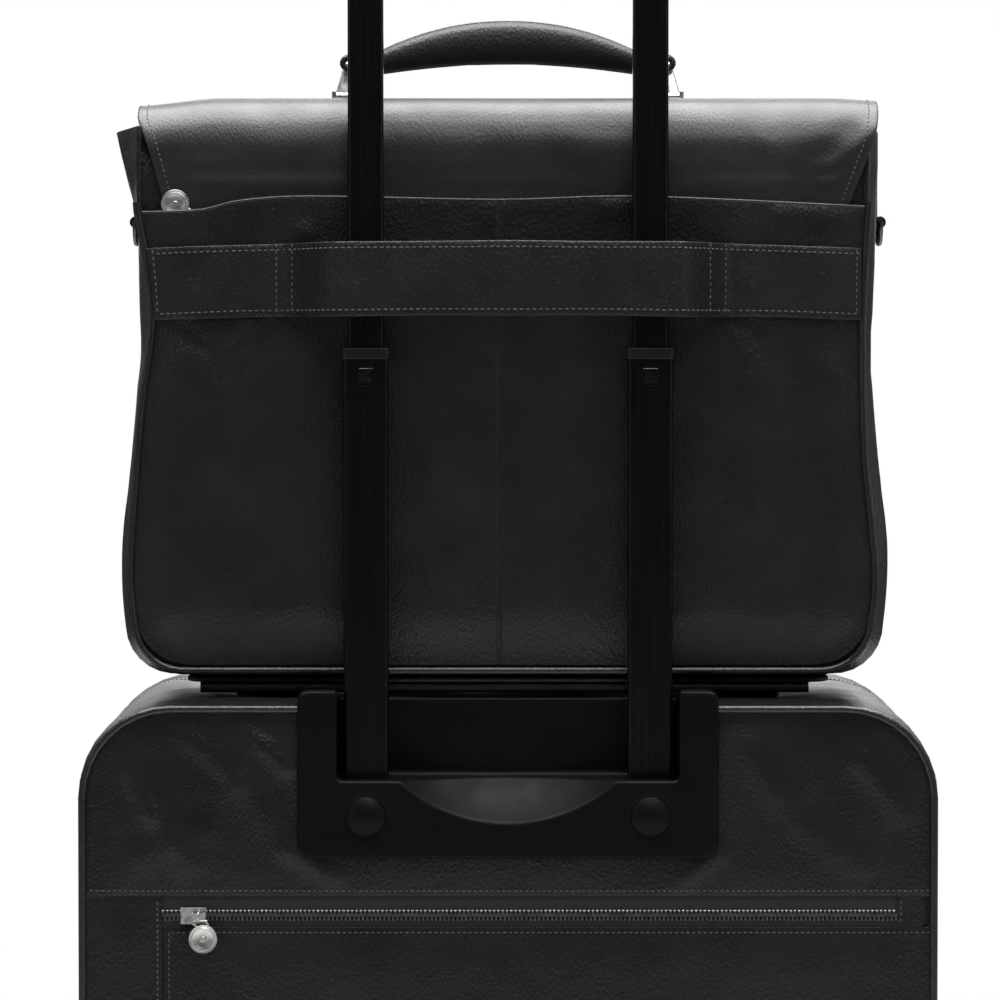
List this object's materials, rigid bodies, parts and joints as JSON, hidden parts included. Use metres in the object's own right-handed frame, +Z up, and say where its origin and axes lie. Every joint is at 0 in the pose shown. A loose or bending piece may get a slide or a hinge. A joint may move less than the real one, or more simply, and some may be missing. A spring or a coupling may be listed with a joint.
{
  "type": "rolling laptop case",
  "caption": "Black leather flap-over laptop briefcase strapped on the telescoping handle of a wheeled leather cabin case.",
  "frame": {"origin": "on the floor, below the middle of the wheeled case", "axes": "+Z up, +Y from the handle side towards the lid, +X to the right for someone facing the handle"},
  "size_m": [0.484, 0.2376, 0.8695],
  "materials": {
    "case_leather": "smooth full-grain, soft sheen",
    "bag_leather": "smooth full-grain, soft sheen",
    "flap_leather": "glossy full-grain",
    "strap_leather": "smooth full-grain, stitched",
    "handle_leather": "smooth, stitched",
    "piping_leather": "semi-gloss bead",
    "lining": "woven",
    "housing_plastic": "fine texture",
    "handle_plastic": "satin",
    "button_plastic": "satin",
    "glide_plastic": "natural",
    "hub_plastic": "satin",
    "black_tube": "black anodised, ribbed",
    "guide_aluminium": "plain",
    "steel": "zinc plated",
    "zip_metal": "dark gunmetal",
    "nickel": "satin nickel",
    "rubber": "matte",
    "tyre": "matte"
  },
  "bodies": {
    "case": {"case_shell": "case_leather", "inner_back_panel": "lining", "back_yoke": "case_leather", "back_side_panel": "case_leather", "back_pocket_panel": "case_leather", "rear_zip_chain": "zip_metal", "back_piping": "piping_leather", "handle_housing": "housing_plastic", "housing_screws": "housing_plastic", "guide_tubes": "guide_aluminium", "tube_foot": "housing_plastic", "base_plate": "housing_plastic", "wheel_housings": "housing_plastic", "wheel_axles": "steel", "wheel_bearings": "steel", "front_feet": "rubber", "main_zip_case_half": "zip_metal", "carry_handle_mounts": "case_leather"},
    "handle_lower": {"lower_tubes": "black_tube", "lower_collars": "handle_plastic", "lower_glides": "glide_plastic"},
    "handle_upper": {"upper_tubes": "black_tube", "upper_glides": "glide_plastic", "grip": "handle_plastic"},
    "release": {"release_button": "button_plastic", "release_rods": "steel"},
    "wheel_left": {"wheel_left_tyre": "tyre", "wheel_left_hub": "hub_plastic"},
    "wheel_right": {"wheel_right_tyre": "tyre", "wheel_right_hub": "hub_plastic"},
    "lid": {"lid_shell": "case_leather", "lid_piping": "piping_leather", "main_zip_lid_half": "zip_metal", "lid_pocket_panel": "case_leather"},
    "carry_handle": {"carry_handle": "case_leather"},
    "rear_slider": {"rear_zip_slider": "nickel"},
    "rear_pull": {"rear_zip_pull": "nickel"},
    "main_slider": {"main_zip_slider": "nickel"},
    "main_pull": {"main_zip_pull": "nickel"},
    "briefcase": {"bag_back_panel": "bag_leather", "bag_gusset": "bag_leather", "bag_front_panel": "bag_leather", "bag_front_pocket": "bag_leather", "bag_base": "bag_leather", "bag_piping": "piping_leather", "slip_pocket": "bag_leather", "trolley_strap": "strap_leather", "flap_back": "flap_leather", "laptop_divider": "lining", "ring_tabs": "strap_leather"},
    "slip_slider": {"slip_zip_pull": "nickel"},
    "flap": {"flap_top": "flap_leather", "handle_mounts": "nickel"},
    "flap_front": {"flap_front": "flap_leather", "flap_straps": "strap_leather", "flap_buckles": "nickel"},
    "bag_handle": {"bag_handle": "handle_leather", "handle_links": "nickel"},
    "ring_left": {"side_ring_left": "nickel"},
    "ring_right": {"side_ring_right": "nickel"}
  },
  "joints": [
    {"name": "handle_lower_slide", "type": "slide", "parent": "case", "child": "handle_lower", "axis": [0, 0, 1], "range_m": [-0.2348, 0]},
    {"name": "handle_upper_slide", "type": "slide", "parent": "handle_lower", "child": "handle_upper", "axis": [0, 0, 1], "range_m": [-0.2448, 0]},
    {"name": "release_press", "type": "slide", "parent": "handle_upper", "child": "release", "axis": [0, 0, 1], "range_m": [-0.003, 0], "stiffness_N_per_m": 600, "springref_m": 0.004},
    {"name": "wheel_left_spin", "type": "hinge", "parent": "case", "child": "wheel_left", "pos_m": [-0.204, -0.084, 0.032], "axis": [1, 0, 0], "continuous": true},
    {"name": "wheel_right_spin", "type": "hinge", "parent": "case", "child": "wheel_right", "pos_m": [0.204, -0.084, 0.032], "axis": [1, 0, 0], "continuous": true},
    {"name": "lid_open", "type": "hinge", "parent": "case", "child": "lid", "pos_m": [0, 0.084, 0.034], "axis": [-1, 0, 0], "range_deg": [0, 90]},
    {"name": "rear_zip_slide", "type": "slide", "parent": "case", "child": "rear_slider", "axis": [1, 0, 0], "range_m": [0, 0.375]},
    {"name": "rear_pull_swing", "type": "hinge", "parent": "rear_slider", "child": "rear_pull", "pos_m": [-0.1726, -0.1183, 0.2645], "axis": [-1, 0, 0], "range_deg": [0, 150]},
    {"name": "main_zip_slide", "type": "slide", "parent": "case", "child": "main_slider", "axis": [1, 0, 0], "range_m": [0, 0.28]},
    {"name": "main_pull_swing", "type": "hinge", "parent": "main_slider", "child": "main_pull", "pos_m": [-0.115, 0.084, 0.3899], "axis": [-1, 0, 0], "range_deg": [0, 150]},
    {"name": "briefcase_lift", "type": "slide", "parent": "case", "child": "briefcase", "axis": [0, 0, 1], "range_m": [0, 0.3]},
    {"name": "carry_handle_rise", "type": "slide", "parent": "case", "child": "carry_handle", "axis": [0, 0, 1], "range_m": [0, 0.015]},
    {"name": "slip_zip_slide", "type": "slide", "parent": "briefcase", "child": "slip_slider", "axis": [1, 0, 0], "range_m": [0, 0.34]},
    {"name": "flap_lift", "type": "hinge", "parent": "briefcase", "child": "flap", "pos_m": [0, -0.077, 0.719], "axis": [1, 0, 0], "range_deg": [0, 45]},
    {"name": "flap_front_fold", "type": "hinge", "parent": "flap", "child": "flap_front", "pos_m": [0, 0.0511, 0.7173], "axis": [1, 0, 0], "range_deg": [0, 165]},
    {"name": "bag_handle_tilt", "type": "hinge", "parent": "flap", "child": "bag_handle", "pos_m": [0, -0.0145, 0.7253], "axis": [1, 0, 0], "range_deg": [-60, 60]},
    {"name": "ring_left_swing", "type": "hinge", "parent": "briefcase", "child": "ring_left", "pos_m": [-0.2138, -0.0145, 0.653], "axis": [0, 1, 0], "range_deg": [0, 150]},
    {"name": "ring_right_swing", "type": "hinge", "parent": "briefcase", "child": "ring_right", "pos_m": [0.2138, -0.0145, 0.653], "axis": [0, -1, 0], "range_deg": [0, 150]}
  ],
  "couplings": [
    {"joint": "carry_handle_rise", "follows": "briefcase_lift", "ratio": 0.05}
  ]
}
